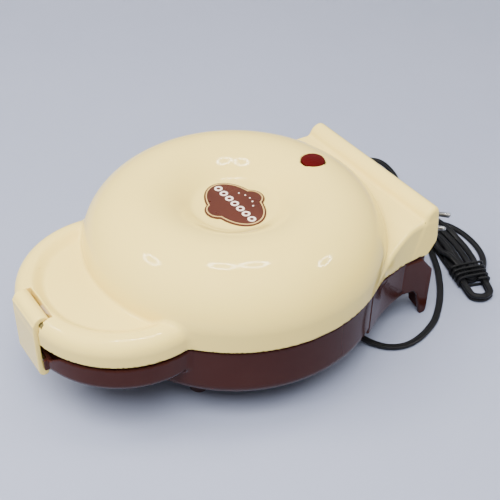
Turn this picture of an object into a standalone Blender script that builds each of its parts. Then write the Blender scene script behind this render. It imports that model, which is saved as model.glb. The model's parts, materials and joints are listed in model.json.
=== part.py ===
"""Donut maker: clamshell appliance with a hinged dome lid, a front latch and a mains cord.

All sizes below are in millimetres.  The layout is drawn about the dome's centre line
(x to the right, y to the back, z up from the table), and every mesh is moved back by
DOME_Y and scaled to metres when it is stored, so that the origin of the finished
model is the centre of its footprint on the table.
"""
import math

import bmesh
import bpy
from mathutils import Matrix, Vector

MM = 0.001
GAP = 0.3

# Driving dimensions
DOME_R = 100.0
DOME_TOP = 111.8
LID_RIM = 62.8
FRONT = -149.8
REAR = 121.5
DOME_Y = -(FRONT + REAR) / 2.0

# Lid
SKIN = 2.5
DOME_SHOULDER = 75.5
CREST_R = 60.0
DIMPLE_R = 28.0
DIMPLE_Z = 98.5
DECK_Z = 82.4
DECK_SLOPE = 0.36
DECK_EDGE = 95.0
BAR_TOP = 90.6
WING_FOOT = 57.0
WING_HALF_LOW = 67.5
WING_HALF_DECK = 65.4
LOBE_Y = -85.6
LOBE_R = 63.5
LOBE_STRETCH = 1.06
LOBE_PANEL = 76.0
LOBE_BEAD = 80.0
LAMP_Y = 61.8
LAMP_R = 8.0
PLAQUE_HALF_X = 25.9
PLAQUE_HALF_Y = 17.1
PLAQUE_BUMP_Y = 11.8
PLAQUE_BUMP_R = 9.5
PLAQUE_THICK = 0.9
PLAQUE_POINTS = 64

# Base
BASE_R = 98.5
BASE_RIM = 60.8
BASE_FLOOR = 23.3
TRAY_FLOOR = 41.5
TRAY_RIM = 59.6
TRAY_R = 62.3
COVER_R = 86.0
COVER_DISH_R = 77.0
COVER_FLANGE = 20.5
COVER_DISH = 14.0
COVER_SKIN = 2.4
FOOT_X = 43.0
FOOT_Y = -55.0

# Hinge and latch
HINGE_Y = 108.0
HINGE_Z = 69.0
HINGE_PIN_R = 2.5
EAR_IN = 47.0
EAR_OUT = 57.0
EAR_R = 8.0
LATCH_Y = -143.6
LATCH_Z = 76.8
LATCH_HALF = 15.3
LATCH_BARREL = 5.2
LATCH_PIN_R = 1.5
NOTCH_HALF = 15.8
NOTCH_BACK = -137.4

# Cooking plates
PLATE_R = 91.0
PLATE_SKIN = 3.0
LOWER_FACE = 61.9
UPPER_FACE = 62.7
CUP_CIRCLE = 57.0
CUP_OUT = 25.8
CUP_IN = 8.2
CUP_DEPTH = 10.5
CUP_BACK_R = 27.8
CUP_BACK = 13.3
SCREW_R = 1.25
SCREW_CIRCLE = 85.0
SCREW_ANGLES = (60.0, 120.0, 240.0, 300.0)
COVER_SCREW_ANGLES = (20.0, 110.0, 200.0, 290.0)
COVER_SCREW_CIRCLE = 82.0

# Solids with many crossing cuts, where the exact solver leaves slivers
MANY_CUTS = ("lid_shell", "base_shell", "upper_plate", "lower_plate")

# Mains cord
CORD_R = 2.5
CORD_EXIT_Z = 8.0
CORD_DIR = Vector((math.cos(math.radians(24.0)), math.sin(math.radians(24.0)), 0.0))
GLAND_CENTRE = Vector((21.0, 38.5, CORD_EXIT_Z))
GLAND_HALF = 10.0
RELIEF_LENGTH = 26.0
HANK_A = Vector((71.9, 167.2, 0.0))
HANK_B = Vector((-30.3, 202.1, 0.0))
HANK_HALF_WIDTH = 13.6
HANK_HEIGHT = 8.6
HANK_BEND = 11.0
HANK_STRAIGHT = 62.0
TIE_PLACE = 97.0
TIE_HALF_LENGTH = 9.0
PLUG_FACE = Vector((-0.25, 175.35, 17.2))
PLUG_DIR = Vector((0.807, 0.590, 0.100)).normalized()
PLUG_LENGTH = 36.0
PLUG_RELIEF = 22.0
PLUG_PIN = 19.0
PLUG_PIN_SPREAD = 9.3
PLUG_HALF_THICK = 6.7

# The free lengths of the cord, from the strain relief to the hank and from the hank to the plug
CORD_ROUTE = [
    (55.0, 53.6, 8.0), (60.8, 56.3, 7.2), (67.0, 59.4, 5.2), (74.0, 63.6, 3.3),
    (81.0, 69.0, 2.7), (86.0, 76.0, 2.6), (88.6, 84.5, 2.6), (88.0, 95.0, 2.6),
    (84.5, 107.0, 2.6), (78.9, 118.5, 2.6), (67.5, 132.8, 2.6), (56.4, 143.6, 2.6),
    (48.7, 149.8, 2.6), (42.6, 154.4, 2.6), (36.1, 158.6, 2.6), (24.0, 165.0, 2.6),
]
TAIL_ROUTE = [
    (-50.4, 197.3, 2.6), (-57.5, 200.6, 2.6), (-66.0, 206.2, 2.6), (-76.0, 211.4, 2.6),
    (-86.5, 214.0, 2.6), (-95.5, 214.6, 2.6), (-102.4, 212.6, 2.6), (-107.4, 206.6, 2.6),
    (-109.6, 197.0, 2.6), (-109.0, 184.0, 2.6), (-105.0, 170.0, 2.6), (-97.0, 157.5, 2.7),
    (-86.0, 148.0, 2.9), (-75.0, 142.0, 3.8), (-64.0, 138.8, 6.4), (-55.5, 138.0, 9.6),
    (-51.0, 138.9, 10.8), (-47.4, 140.9, 11.33),
]


# ---------------------------------------------------------------- helpers

def clear_scene():
    for obj in list(bpy.data.objects):
        bpy.data.objects.remove(obj, do_unlink=True)


def material(name, colour, roughness, metallic=0.0):
    mat = bpy.data.materials.new(name)
    mat.use_nodes = True
    shader = mat.node_tree.nodes["Principled BSDF"]
    shader.inputs["Base Color"].default_value = (*colour, 1.0)
    shader.inputs["Roughness"].default_value = roughness
    shader.inputs["Metallic"].default_value = metallic
    return mat


def to_world(point):
    return Vector((point[0], point[1] + DOME_Y, point[2])) * MM


def store(bm, name, mat=None, smooth=True):
    """Turn a bmesh drawn in millimetres into an object in metres."""
    for vert in bm.verts:
        vert.co = to_world(vert.co)
    bmesh.ops.recalc_face_normals(bm, faces=bm.faces[:])
    mesh = bpy.data.meshes.new(name)
    bm.to_mesh(mesh)
    bm.free()
    if smooth:
        mesh.shade_smooth()
        mesh.set_sharp_from_angle(angle=math.radians(35.0))
    obj = bpy.data.objects.new(name, mesh)
    bpy.context.scene.collection.objects.link(obj)
    if mat:
        mesh.materials.append(mat)
    return obj


def revolve(profile, name, segments=48, centre=(0.0, 0.0), stretch=1.0, closed=False, mat=None):
    """Turn a profile of (radius, height) points about an upright axis.

    An open profile starts and ends on the axis; a closed one makes a ring."""
    bm = bmesh.new()
    rings = []
    for radius, height in profile:
        if radius < 1e-6:
            rings.append([bm.verts.new((centre[0], centre[1], height))])
            continue
        ring = []
        for i in range(segments):
            angle = 2.0 * math.pi * i / segments
            x = centre[0] + stretch * radius * math.cos(angle)
            y = centre[1] + radius * math.sin(angle)
            ring.append(bm.verts.new((x, y, height)))
        rings.append(ring)
    pairs = list(zip(rings, rings[1:]))
    if closed:
        pairs.append((rings[-1], rings[0]))
    for low, high in pairs:
        for i in range(segments):
            j = (i + 1) % segments
            corners = [low[i % len(low)], low[j % len(low)], high[j % len(high)], high[i % len(high)]]
            bm.faces.new(list(dict.fromkeys(corners)))
    return store(bm, name, mat)


def loft(lower, upper, name, mat=None):
    """Join two outlines of the same number of points and close both ends."""
    bm = bmesh.new()
    low = [bm.verts.new(p) for p in lower]
    high = [bm.verts.new(p) for p in upper]
    bm.faces.new(low)
    bm.faces.new(high)
    count = len(low)
    for i in range(count):
        j = (i + 1) % count
        bm.faces.new([low[i], low[j], high[j], high[i]])
    bm.normal_update()
    bmesh.ops.triangulate(bm, faces=bm.faces[:])
    return store(bm, name, mat)


def box(low, high, name, mat=None):
    (x0, y0, z0), (x1, y1, z1) = low, high
    outline = [(x0, y0), (x1, y0), (x1, y1), (x0, y1)]
    return loft([(x, y, z0) for x, y in outline], [(x, y, z1) for x, y in outline], name, mat)


def side_profile(points, left, right, name, mat=None):
    """Extrude an outline of (y, z) points along X; left and right may be numbers or rules of z."""
    def at(rule, z):
        return rule(z) if callable(rule) else rule
    lower = [(at(left, z), y, z) for y, z in points]
    upper = [(at(right, z), y, z) for y, z in points]
    return loft(lower, upper, name, mat)


def cross_pin(y, z, radius, left, right, name, mat=None, segments=16):
    """A round pin along X."""
    circle = []
    for i in range(segments):
        angle = 2.0 * math.pi * i / segments
        circle.append((y + radius * math.cos(angle), z + radius * math.sin(angle)))
    return side_profile(circle, left, right, name, mat)


def upright(x, y, radius, low, high, name, segments=16):
    return revolve([(0.0, low), (radius, low), (radius, high), (0.0, high)], name, segments, (x, y))


def combine(target, operation, *tools):
    """Apply Boolean operations one after another and remove the tools."""
    for tool in tools:
        modifier = target.modifiers.new("cut", "BOOLEAN")
        modifier.operation = operation
        modifier.solver = "MANIFOLD" if target.name in MANY_CUTS else "EXACT"
        modifier.object = tool
        depsgraph = bpy.context.evaluated_depsgraph_get()
        result = bpy.data.meshes.new_from_object(target.evaluated_get(depsgraph))
        target.modifiers.clear()
        target.data = result
        bpy.data.objects.remove(tool, do_unlink=True)
    return target


def finish_solid(obj, mat):
    """Keep one material and shade the solid smooth with sharp folds."""
    obj.data.materials.clear()
    obj.data.materials.append(mat)
    obj.data.shade_smooth()
    obj.data.set_sharp_from_angle(angle=math.radians(35.0))
    return obj


def rod(points, radius, name, mat, resolution=2):
    """A round rod or cord along a list of points, as a bevelled curve with closed ends."""
    curve = bpy.data.curves.new(name, "CURVE")
    curve.dimensions = "3D"
    curve.bevel_depth = radius * MM
    curve.bevel_resolution = resolution
    curve.use_fill_caps = True
    spline = curve.splines.new("POLY")
    spline.points.add(len(points) - 1)
    for target, point in zip(spline.points, points):
        target.co = (*to_world(point), 1.0)
    curve.materials.append(mat)
    obj = bpy.data.objects.new(name, curve)
    bpy.context.scene.collection.objects.link(obj)
    return obj


def smooth_route(points, spacing):
    """Read evenly spaced points from a Catmull-Rom curve through the route's own points."""
    nodes = [Vector(p) for p in points]
    nodes = [2.0 * nodes[0] - nodes[1]] + nodes + [2.0 * nodes[-1] - nodes[-2]]
    dense = []
    for a, b, c, d in zip(nodes, nodes[1:], nodes[2:], nodes[3:]):
        for step in range(16):
            t = step / 16.0
            dense.append(0.5 * (2.0 * b + (c - a) * t + (2.0 * a - 5.0 * b + 4.0 * c - d) * t ** 2
                                + (3.0 * b - a - 3.0 * c + d) * t ** 3))
    dense.append(nodes[-2])
    lengths = [0.0]
    for a, b in zip(dense, dense[1:]):
        lengths.append(lengths[-1] + (b - a).length)
    count = max(2, round(lengths[-1] / spacing))
    result = []
    k = 0
    for i in range(count + 1):
        goal = lengths[-1] * i / count
        while k < len(lengths) - 2 and lengths[k + 1] < goal:
            k += 1
        t = (goal - lengths[k]) / (lengths[k + 1] - lengths[k])
        result.append(dense[k].lerp(dense[k + 1], t))
    return result


def axis_empty(name, y, z):
    empty = bpy.data.objects.new(name, None)
    empty.location = to_world((0.0, y, z))
    empty.empty_display_size = 0.02
    bpy.context.scene.collection.objects.link(empty)
    return empty


def hang_on(empty, objects):
    """Parent objects to an empty that stands on their joint's axis, keeping their place."""
    for obj in objects:
        obj.parent = empty
        obj.matrix_parent_inverse = Matrix.Translation(-empty.location)


def polar(radius, degrees):
    return (radius * math.cos(math.radians(degrees)), radius * math.sin(math.radians(degrees)))


# ---------------------------------------------------------------- lid

def dome_profile(inset, floor):
    """The ring-shaped dome: upright rim, elliptical shoulder, crest and dished centre."""
    points = [(0.0, floor), (DOME_R - inset, floor), (DOME_R - inset, DOME_SHOULDER)]
    for step in range(1, 8):
        angle = math.pi / 2.0 * step / 7.0
        radius = CREST_R + (DOME_R - CREST_R - inset) * math.cos(angle)
        height = DOME_SHOULDER + (DOME_TOP - DOME_SHOULDER - inset) * math.sin(angle)
        points.append((radius, height))
    for step in range(1, 6):
        t = 1.0 - step / 5.0
        radius = DIMPLE_R + (CREST_R - DIMPLE_R) * t
        points.append((radius, dimple_height(radius) - inset))
    points.append((0.0, DIMPLE_Z - inset))
    return points


def dimple_height(radius):
    t = (radius - DIMPLE_R) / (CREST_R - DIMPLE_R)
    return DIMPLE_Z + (DOME_TOP - DIMPLE_Z) * (1.0 - (1.0 - t) ** 2)


def lobe_profile(inset, floor):
    """Front handle lobe: upright rim, rounded bead and a panel sunk inside the bead."""
    r = LOBE_R - inset
    bead = LOBE_BEAD - inset
    return [
        (0.0, floor), (r, floor), (r, 70.0), (r - 1.0, bead - 5.0), (r - 3.6, bead - 1.4),
        (r - 7.0, bead), (r - 11.0 + inset, bead), (r - 15.0 + inset, bead - 1.4),
        (r - 19.5 + inset, LOBE_PANEL - inset), (0.0, LOBE_PANEL - inset),
    ]


def wing_half(z):
    """Half width of the wing's drafted side walls at height z."""
    slope = (WING_HALF_LOW - WING_HALF_DECK) / (DECK_Z - WING_FOOT)
    return WING_HALF_LOW - slope * (z - WING_FOOT)


def both_sides(points):
    """Close an outline from the points of its right half."""
    return points + [(-x, y, z) for x, y, z in reversed(points)]


def deck_height(y):
    """The deck is level beside the bar, then falls towards the dome."""
    return DECK_Z - DECK_SLOPE * max(0.0, DECK_EDGE - y)


def wing_body(inset, foot, name):
    """The deck behind the dome, with its walls running tangent off the dome's rim."""
    low = wing_half(WING_FOOT) - inset
    top = wing_half(DECK_Z) - inset
    drop = foot - WING_FOOT
    lower = both_sides([
        (85.4 - 1.2 * inset, 49.5, LID_RIM + drop), (78.4 - 1.2 * inset, 63.0, 62.3 + drop),
        (70.0 - 1.2 * inset, 78.0, 58.2 + drop), (low, 86.0, WING_FOOT + 0.2 + drop),
        (low, 112.3 - inset, 54.8 + drop)])
    rim = [(84.0 - 1.4 * inset, 51.5), (76.6 - 1.3 * inset, 64.5), (69.4 - inset, 77.0), (top, DECK_EDGE),
           (top, 112.3 - inset)]
    upper = both_sides([(x, y, deck_height(y) - inset) for x, y in rim])
    return loft(lower, upper, name)


def bar_outer():
    outline = [
        (104.0, 60.0), (112.3, 54.8), (REAR, 66.5), (121.0, 80.0), (120.7, 85.6), (119.2, 88.9),
        (115.8, BAR_TOP), (112.6, 89.5), (110.0, 86.6), (107.8, DECK_Z - 0.5), (104.0, 79.5)]
    return side_profile(outline, lambda z: -wing_half(z) - 0.2, lambda z: wing_half(z) + 0.2, "bar")


def bar_inner():
    outline = [
        (100.0, 40.0), (112.6, 50.0), (118.8, 66.8), (118.5, 79.0), (118.0, 84.6), (116.8, 87.0),
        (115.2, 87.9), (113.6, 87.0), (111.8, 84.6), (109.6, 79.6), (100.0, 77.5)]
    return side_profile(outline, lambda z: SKIN - wing_half(z), lambda z: wing_half(z) - SKIN, "bar_in")


def latch_housing():
    """Block in the lobe's nose that carries the latch pin on each side of the notch."""
    outline = [
        (-133.4, 75.0), (-134.6, 79.4), (-137.4, 81.4), (-141.5, 81.8), (-144.8, 79.9),
        (-146.6, 76.0), (-147.2, 70.0), (-147.2, 63.1), (-134.9, 63.1), (-134.9, 75.0)]
    return side_profile(outline, -18.6, 18.6, "latch_housing")


def make_lid_shell(cream):
    shell = revolve(dome_profile(0.0, LID_RIM), "lid_shell", 64)
    centre = (0.0, LOBE_Y)
    lobe = revolve(lobe_profile(0.0, 62.4), "lobe", 48, centre, LOBE_STRETCH)
    combine(shell, "UNION", lobe, wing_body(0.0, WING_FOOT, "wing"), bar_outer())
    hollow_lobe = revolve(lobe_profile(SKIN, 40.0), "lobe_in", 40, centre, LOBE_STRETCH)
    hollow_wing = wing_body(SKIN, WING_FOOT - 2.0, "wing_in")
    for hollow in (hollow_lobe, hollow_wing):
        skirt = revolve(
            [(0.0, LID_RIM), (DOME_R - 0.1, LID_RIM), (DOME_R - 0.1, 90.0), (0.0, 90.0)], "skirt", 64)
        combine(hollow, "DIFFERENCE", skirt)
    hollow_dome = revolve(dome_profile(SKIN, 50.0), "dome_in", 56)
    combine(shell, "DIFFERENCE", hollow_lobe, hollow_wing, hollow_dome, bar_inner())
    lead_way = box((-16.0, 88.0, 55.0), (16.0, 110.0, 76.0), "lead_way")
    rear_way = box((-60.0, 112.0, 30.0), (60.0, 130.0, 79.0), "rear_way")
    combine(shell, "DIFFERENCE", lead_way, rear_way)
    combine(shell, "UNION", latch_housing())
    for side in (-1.0, 1.0):
        inner, outer = 57.6 * side, 64.3 * side
        boss = cross_pin(HINGE_Y, HINGE_Z, 6.4, min(inner, outer), max(inner, outer), "boss")
        combine(shell, "UNION", boss)
        inner, outer = 50.0 * side, 62.6 * side
        hole = cross_pin(HINGE_Y, HINGE_Z, HINGE_PIN_R + GAP, min(inner, outer), max(inner, outer), "hole")
        combine(shell, "DIFFERENCE", hole)
    for angle in SCREW_ANGLES:
        x, y = polar(SCREW_CIRCLE, angle)
        post = upright(x, y, 4.5, UPPER_FACE + PLATE_SKIN + GAP, 98.0, "post", 12)
        combine(shell, "UNION", post)
        combine(shell, "DIFFERENCE", upright(x, y, SCREW_R + GAP, 60.0, 80.0, "bore", 10))
    notch = box((-NOTCH_HALF, -170.0, 50.0), (NOTCH_HALF, NOTCH_BACK, 100.0), "notch")
    pin_way = cross_pin(LATCH_Y, LATCH_Z, LATCH_PIN_R + GAP, -17.6, 17.6, "pin_way", segments=12)
    lamp_way = upright(0.0, LAMP_Y, LAMP_R + GAP, 95.0, 120.0, "lamp_way", 24)
    combine(shell, "DIFFERENCE", notch, pin_way, lamp_way)
    return finish_solid(shell, cream)


def plaque_outline(inset, height):
    """Wide oval with a round bump in the middle of each long side."""
    points = []
    for step in range(PLAQUE_POINTS):
        angle = 2.0 * math.pi * step / PLAQUE_POINTS
        c, s = math.cos(angle), math.sin(angle)
        radius = 1.0 / math.hypot(c / (PLAQUE_HALF_X - inset), s / (PLAQUE_HALF_Y - inset))
        inside = (PLAQUE_BUMP_R - inset) ** 2 - (PLAQUE_BUMP_Y * c) ** 2
        if inside > 0.0:
            radius = max(radius, PLAQUE_BUMP_Y * abs(s) + math.sqrt(inside))
        points.append((radius * c, radius * s, height))
    return points


def make_badge(brown):
    """Plain plaque on the dished centre of the dome."""
    foot = DIMPLE_Z + GAP
    return loft(plaque_outline(0.0, foot), plaque_outline(0.4, foot + PLAQUE_THICK), "badge", brown)


def make_lamp(red, glass):
    lens_profile = [
        (0.0, 105.0), (10.0, 105.0), (10.0, 106.4), (LAMP_R, 106.4), (LAMP_R, 111.2), (6.6, 111.9),
        (3.4, 112.2), (0.0, 112.3)]
    lens = revolve(lens_profile, "lamp_lens", 24, (0.0, LAMP_Y), mat=red)
    bulb_profile = [
        (0.0, 90.6), (1.8, 90.6), (3.0, 92.0), (3.0, 100.5), (2.2, 102.6), (0.0, 103.4)]
    bulb = revolve(bulb_profile, "lamp_bulb", 12, (0.0, LAMP_Y), mat=glass)
    return [lens, bulb]


# ---------------------------------------------------------------- cooking plates and heaters

def cup_centres():
    return [(0.0, 0.0)] + [polar(CUP_CIRCLE, 30.0 + 60.0 * i) for i in range(6)]


def make_plate(name, face, way, coating):
    """A cast plate with seven ring-shaped cups; way is +1 for cups that open upwards."""
    back = face - way * PLATE_SKIN
    plate = revolve([(0.0, back), (PLATE_R, back), (PLATE_R, face), (0.0, face)], name, 56)
    for x, y in cup_centres():
        rear = face - way * CUP_BACK
        hub = revolve(
            [(0.0, rear), (CUP_BACK_R - 2.0, rear), (CUP_BACK_R, rear + way * 3.0),
             (CUP_BACK_R, face - way * 1.0), (0.0, face - way * 1.0)], "hub", 16, (x, y))
        combine(plate, "UNION", hub)
    middle = (CUP_OUT + CUP_IN) / 2.0
    half = (CUP_OUT - CUP_IN) / 2.0
    for x, y in cup_centres():
        ring = [(middle - half, face + way * 1.0)]
        for step in range(1, 5):
            angle = math.pi * step / 5.0
            ring.append((middle - half * math.cos(angle), face - way * CUP_DEPTH * math.sin(angle)))
        ring.append((middle + half, face + way * 1.0))
        combine(plate, "DIFFERENCE", revolve(ring, "cup", 16, (x, y), closed=True))
    for angle in SCREW_ANGLES:
        x, y = polar(SCREW_CIRCLE, angle)
        low, high = sorted((face + way * 1.0, face - way * 2.0))
        combine(plate, "DIFFERENCE", upright(x, y, 3.4, low, high, "counterbore", 12))
        low, high = sorted((face, face - way * 5.0))
        combine(plate, "DIFFERENCE", upright(x, y, SCREW_R + GAP, low, high, "screw_way", 10))
    return finish_solid(plate, coating)


def make_screw(name, x, y, head, way, length, steel):
    """A pan-head screw; head is the height of its outer face and way the side that face looks to."""
    profile = [
        (0.0, head), (2.9, head), (2.9, head - way * 1.4), (SCREW_R, head - way * 1.4),
        (SCREW_R, head - way * length), (0.0, head - way * length)]
    return revolve(profile, name, 10, (x, y), mat=steel)


def make_heater(name, z, steel):
    """Tubular element bent to an open ring behind the cups."""
    points = [Vector((8.0, 78.0, z)), Vector((8.0, 70.0, z))]
    for step in range(25):
        angle = math.radians(82.0 - 344.0 * step / 24.0)
        points.append(Vector((56.0 * math.cos(angle), 56.0 * math.sin(angle), z)))
    points += [Vector((-8.0, 70.0, z)), Vector((-8.0, 78.0, z))]
    return rod(points, 3.1, name, steel, 1)


def make_reflector(name, radius, z, way, steel):
    """Thin dished sheet that throws the heat back to the plate."""
    profile = [
        (0.0, z), (radius - 0.8, z), (radius, z + way * 5.0), (radius - 0.8, z + way * 5.0),
        (radius - 1.6, z + way * 0.8), (0.0, z + way * 0.8)]
    return revolve(profile, name, 32, mat=steel)


# ---------------------------------------------------------------- latch and hinge

def make_latch(cream):
    """Flip-down clip: barrel on the pin, flat face and a turned-in lip under the tray."""
    outline = []
    for step in range(9):
        angle = math.radians(-60.0 + 210.0 * step / 8.0)
        outline.append((LATCH_Y + LATCH_BARREL * math.cos(angle),
                        LATCH_Z + LATCH_BARREL * math.sin(angle)))
    outline += [
        (-149.3, 77.0), (FRONT, 70.0), (FRONT, 42.0), (-149.2, 38.9), (-147.4, 37.0),
        (-144.6, 37.0), (-143.4, 38.2), (-143.4, 40.2), (-146.3, 42.6), (-146.4, 68.6)]
    clip = side_profile(outline, -LATCH_HALF, LATCH_HALF, "latch_clip")
    pin_way = cross_pin(LATCH_Y, LATCH_Z, LATCH_PIN_R + GAP, -30.0, 30.0, "pin_way", segments=12)
    combine(clip, "DIFFERENCE", pin_way)
    return finish_solid(clip, cream)


def make_hinge_pin(name, side, steel):
    inner, outer = 45.4 * side, 61.8 * side
    pin = cross_pin(HINGE_Y, HINGE_Z, HINGE_PIN_R, min(inner, outer), max(inner, outer), name)
    head = sorted((44.6 * side, 46.6 * side))
    combine(pin, "UNION", cross_pin(HINGE_Y, HINGE_Z, 4.0, head[0], head[1], "pin_head"))
    return finish_solid(pin, steel)


# ---------------------------------------------------------------- base

def base_profile():
    """Round tub of the base with a rounded lower edge."""
    radius = 10.0
    points = [(0.0, BASE_FLOOR), (BASE_R - 0.2 - radius, BASE_FLOOR)]
    for step in range(1, 5):
        angle = math.pi / 2.0 * step / 4.0
        points.append((BASE_R - 0.2 - radius + radius * math.sin(angle),
                       BASE_FLOOR + radius - radius * math.cos(angle)))
    return points + [(BASE_R, BASE_RIM), (0.0, BASE_RIM)]


def base_hollow_profile():
    floor = BASE_FLOOR + SKIN
    wall = BASE_R - SKIN
    return [(0.0, floor), (wall - 8.0, floor), (wall - 2.2, floor + 2.4), (wall - 0.2, floor + 8.0),
            (wall, 70.0), (0.0, 70.0)]


def tray_profile(inset, rim):
    """Front tray under the lid's lobe, which is the lower half of the handle."""
    r = TRAY_R - inset
    floor = TRAY_FLOOR + inset
    return [(0.0, floor), (r - 5.0, floor), (r - 1.8, floor + 1.6), (r - 0.4, floor + 5.0),
            (r, rim), (0.0, rim)]


def rear_body(inset, top, name):
    """Rear wing of the base under the deck; its side walls match the lid's."""
    low = 66.8 - inset
    floor = BASE_FLOOR + 0.4 + inset
    lower = both_sides([
        (82.0 - 1.4 * inset, 50.0, floor), (75.6 - 1.2 * inset, 63.0, floor),
        (68.6 - 1.2 * inset, 78.0, floor), (low, 88.0, floor), (low, 113.0 - inset, floor)])
    upper = both_sides([
        (83.5 - 1.4 * inset, 50.0, BASE_RIM - 0.4 + top), (76.9 - 1.2 * inset, 63.0, 59.5 + top),
        (69.2 - 1.2 * inset, 78.0, 56.0 + top), (low + 0.4, 88.0, 54.8 + top),
        (low + 0.4, 113.0 - inset, 51.0 + top)])
    return loft(lower, upper, name)


def rear_leg(side):
    """Hooked rear foot: a side cheek with an arch in front of it and a flange across the back."""
    cheek = [
        (88.0, 54.0), (109.0, 52.2), (119.4, 39.0), (119.2, 3.0), (117.6, 0.0), (113.6, 0.0),
        (111.2, 10.0), (108.4, 21.0), (104.0, 25.5), (88.0, 26.0)]
    left, right = sorted((64.2 * side, 67.9 * side))
    leg = side_profile(cheek, left, right, "leg")
    flange = [(67.6, 36.0), (50.0, 36.0), (50.0, 16.0), (52.0, 2.2), (60.0, 0.0), (67.6, 0.0)]
    lower = [(x * side, 116.0, z) for x, z in flange]
    upper = [(x * side, 119.1, z) for x, z in flange]
    return combine(leg, "UNION", loft(lower, upper, "flange"))


def hinge_ear(side):
    """Upright lug on the base that holds a hinge pin."""
    outline = [(99.0, 25.0), (112.0, 25.0), (112.4, 60.0)]
    for step in range(9):
        angle = math.radians(-30.0 + 210.0 * step / 8.0)
        outline.append((HINGE_Y + EAR_R * math.cos(angle), HINGE_Z + EAR_R * math.sin(angle)))
    outline.append((99.0, 60.0))
    left, right = sorted((EAR_IN * side, EAR_OUT * side))
    return side_profile(outline, left, right, "ear")


def catch_block():
    """Thicker wall behind the latch, so that its flat can be cut into the tray."""
    return box((-19.0, -147.0, 43.5), (19.0, -141.6, 56.0), "catch_block")


def latch_flat():
    """Cutter for the drafted flat that the latch lies against."""
    outline = [(-170.0, 30.0), (-143.6, 30.0), (-144.0, 43.0), (-144.5, 46.4), (-145.3, 62.0), (-170.0, 62.0)]
    return side_profile(outline, -16.3, 16.3, "latch_flat")


def nose_dip():
    """Cutter that lowers the tray's front edge in a shallow curve for the fingers."""
    count = 24
    front, back = [], []
    for i in range(count):
        angle = 2.0 * math.pi * i / count
        x, z = 36.0 * math.cos(angle), 66.2 + 13.6 * math.sin(angle)
        front.append((x, -160.0, z))
        back.append((x, -126.0, z))
    return loft(front, back, "nose_dip")


def make_base_shell(brown):
    shell = revolve(base_profile(), "base_shell", 64)
    centre = (0.0, LOBE_Y)
    tray = revolve(tray_profile(0.0, TRAY_RIM), "tray", 48, centre, LOBE_STRETCH)
    combine(shell, "UNION", tray, rear_body(0.0, 0.0, "rear"))
    hollow_tray = revolve(tray_profile(SKIN, 75.0), "tray_in", 40, centre, LOBE_STRETCH)
    hollow_rear = rear_body(SKIN, 20.0, "rear_in")
    for hollow in (hollow_tray, hollow_rear):
        wall = revolve([(0.0, 10.0), (BASE_R + 0.1, 10.0), (BASE_R + 0.1, 90.0), (0.0, 90.0)], "wall", 64)
        combine(hollow, "DIFFERENCE", wall)
    tub = revolve(base_hollow_profile(), "tub", 56)
    combine(shell, "DIFFERENCE", hollow_tray, hollow_rear, tub)
    wire_way = box((-14.0, 90.0, 30.0), (14.0, 104.0, 46.0), "wire_way")
    cover_way = upright(0.0, 0.0, COVER_DISH_R + 1.2, 10.0, BASE_FLOOR + SKIN + 1.0, "cover_way", 48)
    combine(shell, "DIFFERENCE", wire_way, cover_way)
    for side in (-1.0, 1.0):
        combine(shell, "UNION", rear_leg(side), hinge_ear(side))
        inner, outer = sorted((40.0 * side, 60.0 * side))
        combine(shell, "DIFFERENCE", cross_pin(HINGE_Y, HINGE_Z, HINGE_PIN_R + GAP, inner, outer, "hole"))
    for angle in SCREW_ANGLES:
        x, y = polar(SCREW_CIRCLE, angle)
        top = LOWER_FACE - PLATE_SKIN - GAP
        combine(shell, "UNION", upright(x, y, 4.5, BASE_FLOOR + 1.0, top, "post", 12))
        combine(shell, "DIFFERENCE", upright(x, y, SCREW_R + GAP, 42.0, 70.0, "bore", 10))
    for angle in COVER_SCREW_ANGLES:
        x, y = polar(COVER_SCREW_CIRCLE, angle)
        combine(shell, "UNION", upright(x, y, 4.0, BASE_FLOOR + 0.5, 36.0, "post", 12))
        combine(shell, "DIFFERENCE", upright(x, y, SCREW_R + GAP, 10.0, 34.0, "bore", 10))
    combine(shell, "UNION", catch_block())
    combine(shell, "DIFFERENCE", latch_flat(), nose_dip())
    return finish_solid(shell, brown)


def make_bottom_cover(brown):
    """Dished cover under the base, with the boss that the cord comes out of."""
    low = COVER_FLANGE
    profile = [
        (0.0, COVER_DISH), (COVER_DISH_R - 1.5, COVER_DISH), (COVER_DISH_R + 1.0, low),
        (COVER_R, low), (COVER_R, low + COVER_SKIN), (COVER_DISH_R - 1.0, low + COVER_SKIN),
        (COVER_DISH_R - 3.4, COVER_DISH + COVER_SKIN), (0.0, COVER_DISH + COVER_SKIN)]
    cover = revolve(profile, "bottom_cover", 56)
    across = Vector((-CORD_DIR.y, CORD_DIR.x, 0.0))
    corners = []
    for along, aside in ((-1, -1), (1, -1), (1, 1), (-1, 1)):
        corners.append(GLAND_CENTRE + along * GLAND_HALF * CORD_DIR + aside * 9.0 * across)
    boss = loft([(c.x, c.y, 2.0) for c in corners], [(c.x, c.y, 15.0) for c in corners], "boss")
    combine(cover, "UNION", boss)
    for angle in COVER_SCREW_ANGLES:
        x, y = polar(COVER_SCREW_CIRCLE, angle)
        combine(cover, "DIFFERENCE", upright(x, y, SCREW_R + GAP, 10.0, 30.0, "bore", 10))
    return finish_solid(cover, brown)


def make_foot(name, side, rubber):
    top = COVER_DISH - GAP
    profile = [(0.0, 0.0), (5.6, 0.0), (6.4, 0.8), (7.2, 8.0), (7.6, top), (0.0, top)]
    return revolve(profile, name, 20, (side * FOOT_X, FOOT_Y), mat=rubber)


def make_wire_cover(brown):
    """Lid of the wiring space between the hinge ears."""
    plate = box((-45.6, 101.0, 46.4), (45.6, 109.8, 48.4), "wire_cover")
    return finish_solid(plate, brown)


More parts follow.
